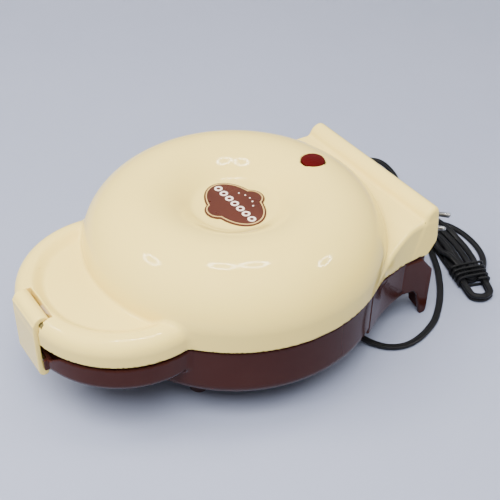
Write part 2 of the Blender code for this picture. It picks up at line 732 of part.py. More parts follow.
def make_electrics(steel, ceramic, glass, sleeve):
    """Thermostat, fuse, terminal block and the internal leads."""
    thermostat = revolve(
        [(0.0, 38.0), (8.0, 38.0), (8.0, 44.6), (11.0, 44.6), (11.0, 45.8), (6.0, 45.8), (6.0, 48.2),
         (0.0, 48.2)], "thermostat", 16, mat=ceramic)
    fuse = rod([(18.0, -12.0, 46.0), (31.0, -12.0, 46.0)], 2.0, "thermal_fuse", glass, 1)
    block = box((14.0, 28.0, 17.2), (44.0, 42.0, 30.0), "terminal_block", ceramic)
    lower = smooth_route([(18.0, 44.6, 24.0), (16.0, 62.0, 26.0), (12.0, 78.0, 29.4), (9.0, 87.0, 35.0),
                          (8.0, 94.0, 39.6), (8.0, 99.0, 41.6), (8.0, 105.0, 42.0)], 6.0)
    upper = smooth_route([(8.0, 79.0, 79.2), (9.0, 86.0, 76.0), (9.0, 94.0, 70.6), (8.0, 102.0, 69.0),
                          (4.0, 108.0, 69.0), (-6.0, 108.0, 69.0)], 5.0)
    return [thermostat, fuse, block, rod(lower, 2.0, "lower_lead", sleeve, 1)], rod(
        upper, 2.0, "upper_lead", sleeve, 1)


# ---------------------------------------------------------------- cord and plug

def placed_along(profile, origin, direction, name, mat, segments=12):
    """Turn a profile of (radius, distance) points about a level axis."""
    obj = revolve([(r, d) for r, d in profile], name, segments, (0.0, -DOME_Y), mat=mat)
    turn = Vector((0.0, 0.0, 1.0)).rotation_difference(direction).to_matrix().to_4x4()
    obj.data.transform(Matrix.Translation(to_world(origin)) @ turn)
    return obj


def make_strain_relief(black):
    start = GLAND_CENTRE + CORD_DIR * (GLAND_HALF + GAP)
    profile = [(0.0, 0.0), (5.4, 0.0), (5.4, 2.4), (4.6, 3.0), (3.0, RELIEF_LENGTH), (0.0, RELIEF_LENGTH)]
    return placed_along(profile, start, CORD_DIR, "strain_relief", black)


def hank_place(along_hank, across_hank):
    """A point of the hank, whose left end bends towards the appliance."""
    along = (HANK_A - HANK_B).normalized()
    across = Vector((-along.y, along.x, 0.0))
    share = min(max(along_hank / HANK_STRAIGHT, 0.0), 1.0)
    bend = HANK_BEND * (1.0 - share * share * (3.0 - 2.0 * share))
    return HANK_B + along * along_hank + across * (across_hank - bend)


def make_hank(black):
    """Outer shape of the folded cord: a slab with round ends."""
    length = (HANK_A - HANK_B).length
    sides = [length * step / 10.0 for step in range(1, 10)]
    arc = [math.radians(angle) for angle in range(-90, 91, 20)]
    edge = [(length + HANK_HALF_WIDTH * math.cos(a), HANK_HALF_WIDTH * math.sin(a)) for a in arc]
    edge += [(s, HANK_HALF_WIDTH) for s in reversed(sides)]
    edge += [(-HANK_HALF_WIDTH * math.cos(a), -HANK_HALF_WIDTH * math.sin(a)) for a in arc]
    edge += [(s, -HANK_HALF_WIDTH) for s in sides]
    outline = [hank_place(s, c) for s, c in edge]
    return loft([(p.x, p.y, 0.1) for p in outline], [(p.x, p.y, HANK_HEIGHT) for p in outline],
                "cord_hank", black)


def make_tie(black):
    """The wound tie, as a sleeve over the hank near its right end."""
    inner, outer = HANK_HALF_WIDTH + GAP, HANK_HALF_WIDTH + 1.6
    outline = [(-outer, 0.2), (-inner, 0.2), (-inner, HANK_HEIGHT + GAP), (inner, HANK_HEIGHT + GAP),
               (inner, 0.2), (outer, 0.2), (outer, HANK_HEIGHT + 1.6), (-outer, HANK_HEIGHT + 1.6)]
    ends = []
    for shift in (-TIE_HALF_LENGTH, TIE_HALF_LENGTH):
        places = [hank_place(TIE_PLACE + shift, c) for c, z in outline]
        ends.append([(p.x, p.y, z) for p, (c, z) in zip(places, outline)])
    return loft(ends[0], ends[1], "cord_tie", black)


def make_plug(black, steel):
    """Flat two-pin plug that leans on the hank, with its pins over the laps."""
    direction, face = PLUG_DIR, PLUG_FACE
    across = Vector((-direction.y, direction.x, 0.0)).normalized()
    up = direction.cross(across)
    sections = []
    for back, half_width, half_thick in ((0.0, 13.4, 6.2), (PLUG_LENGTH * 0.45, 13.0, PLUG_HALF_THICK),
                                         (PLUG_LENGTH, 6.0, 5.2)):
        ring = []
        for i in range(12):
            angle = 2.0 * math.pi * (i + 0.5) / 12.0
            c, s = math.cos(angle), math.sin(angle)
            u = math.copysign(abs(c) ** 0.5, c) * half_width
            v = math.copysign(abs(s) ** 0.5, s) * half_thick
            ring.append(face - direction * back + across * u + up * v)
        sections.append(ring)
    bm = bmesh.new()
    rings = [[bm.verts.new(p) for p in ring] for ring in sections]
    bm.faces.new(rings[0])
    bm.faces.new(rings[-1])
    for near, far in zip(rings, rings[1:]):
        for i in range(12):
            j = (i + 1) % 12
            bm.faces.new([near[i], near[j], far[j], far[i]])
    body = store(bm, "plug_body")
    relief = [(0.0, -3.0), (4.4, -3.0), (4.2, 4.0), (3.2, PLUG_RELIEF), (0.0, PLUG_RELIEF)]
    combine(body, "UNION", placed_along(relief, face - direction * PLUG_LENGTH, -direction, "relief", None))
    pieces = [finish_solid(body, black)]
    pin = [(0.0, GAP), (2.0, GAP), (2.0, PLUG_PIN - 1.6), (1.1, PLUG_PIN), (0.0, PLUG_PIN)]
    for name, side in (("plug_pin_left", 1.0), ("plug_pin_right", -1.0)):
        foot = face + across * (side * PLUG_PIN_SPREAD)
        pieces.append(placed_along(pin, foot, direction, name, steel, 10))
    return pieces


# ---------------------------------------------------------------- assembly

def main():
    clear_scene()
    cream = material("cream_plastic", (0.80, 0.70, 0.47), 0.22)
    brown = material("brown_plastic", (0.070, 0.028, 0.026), 0.25)
    coating = material("plate_coating", (0.045, 0.045, 0.048), 0.45)
    steel = material("steel", (0.60, 0.60, 0.58), 0.35, 1.0)
    red = material("lamp_red", (0.30, 0.01, 0.01), 0.20)
    glass = material("bulb_glass", (0.80, 0.60, 0.45), 0.10)
    ceramic = material("ceramic", (0.75, 0.72, 0.66), 0.60)
    rubber = material("foot_plastic", (0.060, 0.025, 0.024), 0.45)
    black = material("cord_black", (0.012, 0.012, 0.014), 0.45)
    badge_brown = material("badge_brown", (0.18, 0.050, 0.030), 0.35)

    lid = [make_lid_shell(cream), make_badge(badge_brown)] + make_lamp(red, glass)
    lid.append(make_plate("upper_plate", UPPER_FACE, -1.0, coating))
    lid.append(make_heater("upper_heater", UPPER_FACE + CUP_BACK + 3.6, steel))
    lid.append(make_reflector("upper_reflector", 79.8, 88.0, -1.0, steel))
    lid.append(cross_pin(LATCH_Y, LATCH_Z, LATCH_PIN_R, -17.3, 17.3, "latch_pin", steel, 12))
    latch = make_latch(cream)

    make_base_shell(brown)
    make_bottom_cover(brown)
    make_wire_cover(brown)
    make_plate("lower_plate", LOWER_FACE, 1.0, coating)
    make_heater("lower_heater", LOWER_FACE - CUP_BACK - 3.6, steel)
    make_reflector("lower_reflector", 76.5, 33.0, 1.0, steel)
    for number, angle in enumerate(SCREW_ANGLES, 1):
        x, y = polar(SCREW_CIRCLE, angle)
        make_screw(f"lower_plate_screw_{number}", x, y, LOWER_FACE - 0.2, 1.0, 15.0, steel)
        lid.append(make_screw(f"upper_plate_screw_{number}", x, y, UPPER_FACE + 0.2, -1.0, 15.0, steel))
    for number, angle in enumerate(COVER_SCREW_ANGLES, 1):
        x, y = polar(COVER_SCREW_CIRCLE, angle)
        make_screw(f"cover_screw_{number}", x, y, COVER_FLANGE - 1.7, -1.0, 12.0, steel)
    for name, side in (("hinge_pin_left", -1.0), ("hinge_pin_right", 1.0)):
        make_hinge_pin(name, side, steel)
    for name, side in (("front_foot_left", -1.0), ("front_foot_right", 1.0)):
        make_foot(name, side, rubber)
    upper_lead = make_electrics(steel, ceramic, glass, ceramic)[1]
    lid.append(upper_lead)

    make_strain_relief(black)
    rod(smooth_route(CORD_ROUTE, 5.5), CORD_R, "power_cord", black)
    rod(smooth_route(TAIL_ROUTE, 5.5), CORD_R, "cord_tail", black)
    make_hank(black)
    make_tie(black)
    make_plug(black, steel)

    lid_axis = axis_empty("lid_axis", HINGE_Y, HINGE_Z)
    latch_axis = axis_empty("latch_axis", LATCH_Y, LATCH_Z)
    hang_on(lid_axis, lid + [latch_axis])
    hang_on(latch_axis, [latch])


main()
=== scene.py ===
"""Donut maker: detailed look over the CAD model.

Sizes are in millimetres in the frame of part.py: x to the right, y to the back from the
dome's centre line, z up from the table.  world() turns them into the frame's metres.
The moulded shells are drawn as smooth implicit solids (fields that are negative inside)
and meshed once, so that every fillet and every reflection is continuous.
"""
import json
import math

import bmesh
import bpy
import numpy as np
from mathutils import Matrix, Vector

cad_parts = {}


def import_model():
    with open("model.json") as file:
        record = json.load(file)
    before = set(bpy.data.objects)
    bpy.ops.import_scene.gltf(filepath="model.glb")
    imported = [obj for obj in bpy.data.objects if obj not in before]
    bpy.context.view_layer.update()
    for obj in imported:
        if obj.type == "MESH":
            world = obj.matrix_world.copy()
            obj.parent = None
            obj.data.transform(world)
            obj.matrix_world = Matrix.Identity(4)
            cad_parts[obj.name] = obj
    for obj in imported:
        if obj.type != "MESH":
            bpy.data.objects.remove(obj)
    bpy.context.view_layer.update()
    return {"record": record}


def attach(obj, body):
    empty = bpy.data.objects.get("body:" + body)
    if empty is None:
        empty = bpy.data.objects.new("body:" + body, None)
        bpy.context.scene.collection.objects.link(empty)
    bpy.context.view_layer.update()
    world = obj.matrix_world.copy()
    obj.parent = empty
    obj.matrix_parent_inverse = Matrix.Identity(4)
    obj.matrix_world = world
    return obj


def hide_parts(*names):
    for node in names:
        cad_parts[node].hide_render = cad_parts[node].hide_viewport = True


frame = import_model()

MM = 0.001
RECORD = frame["record"]
HINGE_W, LATCH_W = (Vector(j["pos_m"]) for j in RECORD["behaviour"]["joints"])
DOME_Y = 14.15

# Mesh sizes of the moulded shells, the plates and the latch
CELL = 1.4
PLATE_CELL = 1.8
LATCH_CELL = 0.6

# Lid
DOME_R = 100.0
DOME_SHOULDER = 75.5
DOME_TOP = 111.8
CREST_R = 60.0
DOME_POWER = 1.85
DIMPLE_R = 28.0
DIMPLE_Z = 98.5
SKIN = 2.5
RIM = 62.8
LOBE_Y = -85.6
LOBE_R = 63.5
LOBE_STRETCH = 1.06
LOBE_PANEL = 75.3
LOBE_BEAD = 80.0
DECK_Z = 82.4
DECK_SLOPE = 0.40
DECK_EDGE = 95.0
VALLEY_Y = 107.5
BAR_TOP = 90.6
BAR_ROUND = 5.2
REAR = 121.3
WING_HALF = 67.5
WING_DRAFT = 0.079
LAMP_Y = 61.8
LAMP_R = 8.0
LAMP_HOLE_R = 8.35
LAMP_FLANGE_R = 10.0
LAMP_FOOT = 105.0
LAMP_TOP = 112.3
NOTCH_HALF = 15.8
NOTCH_BACK = -136.7
PLAQUE_HALF_X = 25.9
PLAQUE_HALF_Y = 17.1
PLAQUE_BUMP_Y = 11.8
PLAQUE_BUMP_R = 9.5
PLAQUE_FOOT = DIMPLE_Z + 0.3
MARK_LOW = PLAQUE_FOOT + 0.5
MARK_TOP = PLAQUE_FOOT + 0.85

# Base
BASE_R = 98.4
BASE_RIM = 60.8
BASE_FLOOR = 23.3
TRAY_R = 62.3
TRAY_FLOOR = 41.5
TRAY_RIM = 59.6
REAR_WALL = 113.0
FOOT_X = 43.0
FOOT_Y = -55.0
EAR_X = 52.0
EAR_HALF = 5.0
EAR_R = 8.0

# Hinge and latch, read from the record's joints
HINGE_Y = HINGE_W.y / MM - DOME_Y
HINGE_Z = HINGE_W.z / MM
LATCH_Y = LATCH_W.y / MM - DOME_Y
LATCH_Z = LATCH_W.z / MM
HINGE_BORE_R = 2.8
LATCH_BORE_R = 1.8
LATCH_BARREL_R = 5.4
LATCH_HALF = 15.3

# Plates
PLATE_R = 91.0
LOWER_FACE = 61.9
UPPER_FACE = 62.7
CUP_CIRCLE = 57.0
CUP_MIDDLE = 17.0
CUP_HALF = 8.8
CUP_DEPTH = 10.5


def world(point):
    return Vector((point[0], point[1] + DOME_Y, point[2])) * MM


# ---------------------------------------------------------------- camera

def make_camera():
    """Telephoto view from the right front, looking down at about 38 degrees."""
    azimuth, elevation, roll = (math.radians(a) for a in (55.77, 38.40, 1.07))
    target = Vector((-0.00261, 0.02843, 0.0535))
    distance = 0.6619
    back = Vector((math.sin(azimuth) * math.cos(elevation),
                   -math.cos(azimuth) * math.cos(elevation), math.sin(elevation)))
    right = Vector((math.cos(azimuth), math.sin(azimuth), 0.0))
    up = back.cross(right)
    right, up = (right * math.cos(roll) + up * math.sin(roll),
                 up * math.cos(roll) - right * math.sin(roll))
    data = bpy.data.cameras.new("camera")
    data.sensor_width = 36.0
    data.lens = 69.9
    data.clip_end = 20.0
    camera = bpy.data.objects.new("camera", data)
    rotation = Matrix((right, up, back)).transposed().to_4x4()
    camera.matrix_world = Matrix.Translation(target + distance * back) @ rotation
    bpy.context.scene.collection.objects.link(camera)
    bpy.context.scene.camera = camera


# ---------------------------------------------------------------- materials

def new_material(name):
    mat = bpy.data.materials.new(name)
    mat.use_nodes = True
    return mat, mat.node_tree.nodes, mat.node_tree.links


def noise_node(nodes, links, scale, detail=4.0, roughness=0.55):
    coords = nodes.new("ShaderNodeTexCoord")
    noise = nodes.new("ShaderNodeTexNoise")
    noise.inputs["Scale"].default_value = scale
    noise.inputs["Detail"].default_value = detail
    noise.inputs["Roughness"].default_value = roughness
    links.new(coords.outputs["Object"], noise.inputs["Vector"])
    return noise


def ramp_node(nodes, links, source, low, high):
    """Colour ramp between two (place, colour) stops."""
    ramp = nodes.new("ShaderNodeValToRGB")
    for element, (place, colour) in zip(ramp.color_ramp.elements, (low, high)):
        element.position = place
        element.color = (*colour, 1.0)
    links.new(source, ramp.inputs["Fac"])
    return ramp


def surface(name, dark, light, roughness, spread, bump=0.0, grain=400.0, metallic=0.0,
            patches=14.0, ior=1.5):
    """Material with uneven colour and roughness and a fine bump, all procedural."""
    mat, nodes, links = new_material(name)
    shader = nodes["Principled BSDF"]
    wide = noise_node(nodes, links, patches)
    colour = ramp_node(nodes, links, wide.outputs["Fac"], (0.35, dark), (0.65, light))
    links.new(colour.outputs["Color"], shader.inputs["Base Color"])
    fine = noise_node(nodes, links, patches * 5.0, 6.0)
    level = ramp_node(nodes, links, fine.outputs["Fac"],
                      (0.30, (roughness - spread,) * 3), (0.75, (roughness + spread,) * 3))
    links.new(level.outputs["Color"], shader.inputs["Roughness"])
    shader.inputs["Metallic"].default_value = metallic
    shader.inputs["IOR"].default_value = ior
    if bump:
        texture = noise_node(nodes, links, grain, 3.0)
        relief = nodes.new("ShaderNodeBump")
        relief.inputs["Strength"].default_value = bump
        relief.inputs["Distance"].default_value = 0.0004
        links.new(texture.outputs["Fac"], relief.inputs["Height"])
        links.new(relief.outputs["Normal"], shader.inputs["Normal"])
    return mat


def make_materials():
    mats = {}
    mats["cream"] = surface("cream_gloss", (0.885, 0.668, 0.176), (0.900, 0.683, 0.188),
                            0.085, 0.015, bump=0.006, grain=160.0)
    mats["brown"] = surface("brown_gloss", (0.036, 0.009, 0.0065), (0.045, 0.0120, 0.0085),
                            0.14, 0.03, bump=0.012, grain=150.0, ior=1.22)
    mats["foot"] = surface("brown_satin", (0.045, 0.018, 0.017), (0.058, 0.023, 0.021),
                           0.42, 0.08, bump=0.10, grain=700.0)
    mats["badge"] = surface("badge_brown", (0.060, 0.015, 0.009), (0.100, 0.027, 0.015),
                            0.30, 0.05, bump=0.05, grain=900.0)
    mats["gold"] = surface("badge_gold", (0.55, 0.36, 0.12), (0.66, 0.46, 0.18),
                           0.32, 0.06, bump=0.05, grain=900.0)
    mats["pale"] = surface("badge_pale", (0.80, 0.66, 0.56), (0.88, 0.76, 0.66),
                           0.30, 0.05, bump=0.05, grain=900.0)
    mats["red"] = surface("lamp_red", (0.048, 0.0008, 0.0008), (0.085, 0.0014, 0.0014),
                          0.30, 0.06, bump=0.45, grain=520.0, ior=1.25)
    mats["glass"] = surface("bulb_glass", (0.70, 0.42, 0.25), (0.85, 0.60, 0.42), 0.08, 0.02)
    mats["coating"] = surface("non_stick", (0.030, 0.030, 0.032), (0.050, 0.050, 0.053),
                              0.42, 0.08, bump=0.35, grain=900.0)
    mats["steel"] = surface("steel", (0.50, 0.50, 0.49), (0.66, 0.66, 0.65),
                            0.30, 0.08, bump=0.06, grain=600.0, metallic=1.0)
    mats["ceramic"] = surface("insulation", (0.62, 0.59, 0.52), (0.74, 0.71, 0.65),
                              0.60, 0.10, bump=0.30, grain=900.0)
    mats["cord"] = surface("cord_black", (0.0025, 0.0025, 0.003), (0.006, 0.006, 0.007),
                           0.42, 0.08, bump=0.10, grain=800.0, patches=40.0, ior=1.40)
    mats["floor"] = surface("floor", (0.290, 0.313, 0.412), (0.302, 0.325, 0.424),
                            0.60, 0.05, bump=0.0, patches=3.0)
    return mats


# ---------------------------------------------------------------- mesh helpers

def link_piece(name, mesh, mat, body, slot, *nodes):
    obj = bpy.data.objects.new(name, mesh)
    bpy.context.scene.collection.objects.link(obj)
    mesh.materials.append(mat)
    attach(obj, body)
    if nodes:
        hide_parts(*nodes)
    return obj


def from_bmesh(bm, name, sharp=35.0):
    for vert in bm.verts:
        vert.co = world(vert.co)
    bmesh.ops.recalc_face_normals(bm, faces=bm.faces[:])
    mesh = bpy.data.meshes.new(name)
    bm.to_mesh(mesh)
    bm.free()
    mesh.shade_smooth()
    mesh.set_sharp_from_angle(angle=math.radians(sharp))
    return mesh


def around(count, start=0.0):
    """Cosine and sine at even steps round a full turn."""
    angles = (2.0 * math.pi * (step + start) / count for step in range(count))
    return [(math.cos(angle), math.sin(angle)) for angle in angles]


def circle(bm, centre, radius, height, segments):
    x, y = centre
    return [bm.verts.new((x + radius * c, y + radius * s, height)) for c, s in around(segments)]


def join_rings(bm, rings):
    """Faces between rings that have the same number of corners."""
    for near, far in zip(rings, rings[1:]):
        for n in range(len(near)):
            m = (n + 1) % len(near)
            bm.faces.new([near[n], near[m], far[m], far[n]])


def close_ends(bm, rings):
    bm.faces.new(rings[0])
    bm.faces.new(rings[-1])


def revolved(name, profile, centre, segments):
    """Turn (radius, height) points about an upright axis; open ends lie on the axis."""
    bm = bmesh.new()
    rings = []
    for radius, height in profile:
        if radius < 1e-6:
            rings.append([bm.verts.new((*centre, height))])
        else:
            rings.append(circle(bm, centre, radius, height, segments))
    for low, high in zip(rings, rings[1:]):
        for i in range(segments):
            j = (i + 1) % segments
            corners = [low[i % len(low)], low[j % len(low)], high[j % len(high)], high[i % len(high)]]
            bm.faces.new(list(dict.fromkeys(corners)))
    return from_bmesh(bm, name)


# ---------------------------------------------------------------- implicit solids

def either(a, b, radius):
    """Union of two fields with a round fillet."""
    return np.maximum(radius, np.minimum(a, b)) - np.hypot(
        np.maximum(radius - a, 0.0), np.maximum(radius - b, 0.0))


def both(a, b, radius):
    """Intersection of two fields with a rounded edge."""
    return np.minimum(-radius, np.maximum(a, b)) + np.hypot(
        np.maximum(radius + a, 0.0), np.maximum(radius + b, 0.0))


def ease(t):
    t = np.clip(t, 0.0, 1.0)
    return t * t * (3.0 - 2.0 * t)


def slab(value, middle, half):
    return np.abs(value - middle) - half


def polygon(u, v, corners):
    """Signed distance to a flat outline."""
    squared = np.full(np.shape(u), 1e9)
    inside = np.ones(np.shape(u))
    for (ax, ay), (bx, by) in zip(corners, corners[1:] + corners[:1]):
        ex, ey = bx - ax, by - ay
        wx, wy = u - ax, v - ay
        t = np.clip((wx * ex + wy * ey) / (ex * ex + ey * ey), 0.0, 1.0)
        squared = np.minimum(squared, (wx - ex * t) ** 2 + (wy - ey * t) ** 2)
        upward = (v >= ay) & (v < by) & (ex * wy > ey * wx)
        downward = (v < ay) & (v >= by) & (ex * wy < ey * wx)
        inside = np.where(upward | downward, -inside, inside)
    return inside * np.sqrt(squared)


def solid_mesh(name, field, low, high, cell):
    """Mesh a field with one vertex in each cell that its surface crosses."""
    low, high = np.array(low, float), np.array(high, float)
    counts = np.ceil((high - low) / cell).astype(int) + 1
    axes = [low[k] + cell * np.arange(counts[k]) for k in range(3)]
    gx, gy, gz = np.meshgrid(*axes, indexing="ij")
    values = field(gx, gy, gz)
    inside = values < 0.0
    shape = tuple(counts - 1)
    total = np.zeros(shape + (3,))
    crossings = np.zeros(shape)
    corner = [(i, j, k) for i in (0, 1) for j in (0, 1) for k in (0, 1)]

    def window(array, offset):
        return array[tuple(slice(o, o + s) for o, s in zip(offset, shape))]

    for a in corner:
        for axis in range(3):
            if a[axis]:
                continue
            b = tuple(v + (1 if k == axis else 0) for k, v in enumerate(a))
            va, vb = window(values, a), window(values, b)
            cut = window(inside, a) != window(inside, b)
            share = np.where(cut, va / np.where(cut, va - vb, 1.0), 0.0)
            for k in range(3):
                total[..., k] += np.where(cut, a[k] + (share if k == axis else 0.0), 0.0)
            crossings += cut
    used = crossings > 0
    index = np.full(shape, -1)
    index[used] = np.arange(int(used.sum()))
    points = (np.argwhere(used) + total[used] / crossings[used][:, None]) * cell + low
    quads = []
    for axis in range(3):
        u, v = (axis + 1) % 3, (axis + 2) % 3
        first = np.take(inside, range(counts[axis] - 1), axis)
        second = np.take(inside, range(1, counts[axis]), axis)
        place = np.argwhere(first != second)
        place = place[(place[:, u] > 0) & (place[:, v] > 0)
                      & (place[:, u] < shape[u]) & (place[:, v] < shape[v])]
        leaving = inside[tuple(place.T)]
        step_u, step_v = np.eye(3, dtype=int)[u], np.eye(3, dtype=int)[v]
        ring = [place - step_u - step_v, place - step_v, place, place - step_u]
        quad = np.stack([index[tuple(p.T)] for p in ring], 1)
        quad[~leaving] = quad[~leaving][:, ::-1]
        quads.append(quad)
    faces = np.concatenate(quads)
    points, normals = settle(field, points, cell)
    mesh = bpy.data.meshes.new(name)
    mesh.vertices.add(len(points))
    mesh.vertices.foreach_set("co", ((points + (0.0, DOME_Y, 0.0)) * MM).ravel())
    mesh.loops.add(faces.size)
    mesh.loops.foreach_set("vertex_index", faces.ravel())
    mesh.polygons.add(len(faces))
    mesh.polygons.foreach_set("loop_start", np.arange(0, faces.size, 4))
    mesh.update(calc_edges=True)
    mesh.validate()
    mesh.shade_smooth()
    mesh.normals_split_custom_set_from_vertices(normals)
    return mesh


def settle(field, points, cell):
    """Move points onto the surface along its slope, and give the surface's normals there."""
    step = 0.05

    def slope(p):
        return np.stack([(field(*(p + step * axis).T) - field(*(p - step * axis).T)) / (2.0 * step)
                         for axis in np.eye(3)], 1)

    for _ in range(4):
        gradient = slope(points)
        size = np.maximum((gradient ** 2).sum(1), 0.05)
        move = -(field(*points.T) / size)[:, None] * gradient
        length = np.linalg.norm(move, axis=1)[:, None]
        points = points + move * np.minimum(1.0, 0.5 * cell / np.maximum(length, 1e-9))
    gradient = slope(points)
    return points, gradient / np.maximum(np.linalg.norm(gradient, axis=1)[:, None], 1e-9)


# ---------------------------------------------------------------- lid

def crown_height(r):
    """Height of the dome inside its crest, down to the flat dimple."""
    reach = CREST_R - DIMPLE_R
    beyond = r - DIMPLE_R
    soft = 0.5 * (beyond + np.sqrt(beyond ** 2 + 5.0))
    t = np.minimum(soft / (reach + 0.2), 1.0)
    return DIMPLE_Z + (DOME_TOP - DIMPLE_Z) * (1.0 - (1.0 - t) ** 2)


def dome_field(x, y, z):
    """Dished dome: a rounded shoulder outside the crest, a parabola inside it."""
    r = np.hypot(x, y)
    wide, tall = DOME_R - CREST_R, DOME_TOP - DOME_SHOULDER
    u = np.maximum(r - CREST_R, 0.0) / wide
    v = np.maximum(z - DOME_SHOULDER, 0.0) / tall
    un, vn = u ** DOME_POWER, v ** DOME_POWER
    scale = (wide * un + tall * vn + 1e-6) / (un + vn + 1e-6)
    shoulder = ((un + vn) ** (1.0 / DOME_POWER) - 1.0) * scale
    steep = 0.83 * ease((CREST_R - r) / 25.0)
    crown = (z - crown_height(r)) / np.sqrt(1.0 + steep ** 2)
    return np.where(r < CREST_R, crown, shoulder)


def lobe_field(x, y, z):
    """Front lobe of the lid: a round bead about a sunk panel."""
    rho = np.hypot(x / LOBE_STRETCH, y - LOBE_Y)
    raised = 1.8 * np.exp(-(x / 20.0) ** 2) * ease((-100.0 - y) / 20.0)
    bead = LOBE_BEAD + raised
    height = LOBE_PANEL + (bead - LOBE_PANEL) * ease((rho - LOBE_R + 19.0) / 8.5)
    return both(rho - LOBE_R, (z - height) / 1.15, 8.5)


def wing_outline(x, y, half):
    """Plan of the rear wing: tangent lines off the round body, then straight drafted sides."""
    across = np.abs(x)
    tangent = across * math.cos(math.radians(30.0)) + y * 0.5 - DOME_R
    behind = across * 0.5 - y * math.cos(math.radians(30.0))
    return np.maximum(either(tangent, across - half, 12.0), behind)


def lid_rim(x, y):
    """Height of the lid's lower edge: level in front, dropping along the wing."""
    drop = (RIM - 57.0) * ease((y - 56.0) / 27.0) + 0.07 * np.maximum(y - 80.0, 0.0)
    return RIM - drop * (y > 56.0)


def lid_outer(x, y, z):
    """Outside of the lid: dome, sloping rear deck, bar over the hinge, and front lobe."""
    r = np.hypot(x, y)
    half = WING_HALF - WING_DRAFT * (z - 57.0)
    plan = np.minimum(r - DOME_R, wing_outline(x, y, half))
    fall = DECK_EDGE - y
    deck = (z - DECK_Z + DECK_SLOPE * 0.5 * (fall + np.sqrt(fall ** 2 + 36.0))) * 0.94
    top = either(dome_field(x, y, z), deck, 2.2)
    edge = 3.2 * ease((y - 0.577 * np.abs(x)) / 26.0)
    body = both(plan, top, edge)
    front = -0.91 * (y - VALLEY_Y) + 0.414 * (z - DECK_Z)
    back = y - REAR + 0.03 * (z - 72.0)
    bar = both(both(front, z - BAR_TOP, BAR_ROUND), back, BAR_ROUND)
    bar = both(bar, np.abs(x) - half - 0.3, 3.2)
    body = np.maximum(either(np.maximum(body, y - REAR + 3.0), bar, 1.6), y - REAR)
    chamfer = 0.795 * (y - REAR) - 0.606 * (z - 66.5)
    body = both(body, chamfer, 1.2)
    return either(body, lobe_field(x, y, z), 2.6)


def lid_field(x, y, z):
    """The hollow lid with its hinge bosses, latch notch, pin bores and lamp hole."""
    outer = lid_outer(x, y, z)
    r = np.hypot(x, y)
    hollow = outer + SKIN
    ring = slab(r, DOME_R - 1.3, 1.25)
    hollow = np.maximum(hollow, -np.maximum(ring, RIM - z))
    housing = np.maximum(slab(x, 0.0, 18.3), y - NOTCH_BACK - 2.5)
    hollow = np.maximum(hollow, -housing)
    boss = np.maximum(np.hypot(y - HINGE_Y, z - HINGE_Z) - 6.4, slab(np.abs(x), 61.2, 3.6))
    solid = both(both(outer, lid_rim(x, y) - z, 0.7), -hollow, 0.5)
    rear_way = np.maximum(np.maximum(slab(x, 0.0, 60.0), 112.0 - y), z - 79.0)
    solid = both(solid, -rear_way, 0.5)
    solid = np.minimum(solid, boss)
    notch = np.maximum(slab(x, 0.0, NOTCH_HALF), y - NOTCH_BACK)
    pin_way = np.maximum(np.hypot(y - LATCH_Y, z - LATCH_Z) - LATCH_BORE_R, np.abs(x) - 17.6)
    hinge_way = np.maximum(np.hypot(y - HINGE_Y, z - HINGE_Z) - HINGE_BORE_R, np.abs(x) - 62.6)
    lamp_way = np.hypot(x, y - LAMP_Y) - LAMP_HOLE_R
    solid = both(solid, -notch, 0.6)
    solid = np.maximum(np.maximum(solid, -pin_way), -hinge_way)
    return both(solid, -lamp_way, 0.4)


def make_lid(mats):
    mesh = solid_mesh("lid_skin", lid_field, (-104, -154, 51), (104, 126, 116), CELL)
    link_piece("lid_skin", mesh, mats["cream"], "lid", "cream_plastic", "lid_shell")


# ---------------------------------------------------------------- base

def tray_rim(x, y):
    """Upper edge of the tray, dipping towards the latch."""
    dip = 8.0 * ease((32.0 - np.abs(x)) / 15.0) * ease((-112.0 - y) / 10.0)
    return TRAY_RIM - dip


def base_top(x, y):
    """Height of the base's upper edge over the tub, the rear wing and the tray."""
    r = np.hypot(x, y)
    wing = 56.3 + 4.5 * ease((80.0 - y) / 27.0) - 0.09 * np.maximum(y - 80.0, 0.0) - 0.5
    level = np.where(r < BASE_R + 1.0, BASE_RIM, np.where(y > 0.0, wing, tray_rim(x, y)))
    return level


def base_outer(x, y, z):
    """Outside of the base: round tub, front tray and rear wing with an arched side panel."""
    r = np.hypot(x, y)
    tub = both(r - BASE_R, BASE_FLOOR - z, 10.0)
    rho = np.hypot(x / LOBE_STRETCH, y - LOBE_Y)
    tray = both(rho - TRAY_R, TRAY_FLOOR - z, 6.0)
    sweep = np.clip((107.2 - y) / 25.6, 0.0, 1.4)
    panel_edge = 25.8 + 15.4 * sweep ** 1.8
    half = 66.9 - 1.1 * ease((panel_edge - z) / 1.6)
    plan = wing_outline(x, y, half) + 1.5
    wing = both(plan - 0.2, 24.9 - z, 1.6)
    wing = both(wing, y - REAR_WALL, 1.5)
    body = np.minimum(tub, wing)
    return either(body, tray, 2.6)


def leg_field(x, y, z):
    """Rear legs: a hooked cheek at each side and a flange across its back."""
    across = np.abs(x)
    cheek = polygon(y, z, [(94.0, 53.0), (109.0, 52.0), (119.5, 39.0), (119.2, 3.3), (117.6, 0.3),
                           (113.6, 0.3), (111.2, 10.0), (108.4, 20.0), (104.0, 25.6), (94.0, 27.0)])
    cheek = both(cheek, slab(across, 66.15, 1.75), 0.7)
    flange = polygon(across, z, [(67.6, 36.0), (50.0, 36.0), (50.0, 16.0), (52.0, 2.5),
                                 (60.0, 0.3), (67.6, 0.3)])
    flange = both(flange, slab(y, 117.6, 1.55), 0.7)
    return either(cheek, flange, 0.8)


def ear_field(x, y, z):
    """Hinge ears that stand up from the rear wing."""
    eye = np.hypot(y - HINGE_Y, z - HINGE_Z) - EAR_R
    stem = np.maximum(slab(y, 105.6, 6.6), np.maximum(25.0 - z, z - HINGE_Z))
    return both(either(eye, stem, 1.5), slab(np.abs(x), EAR_X, EAR_HALF), 0.7)


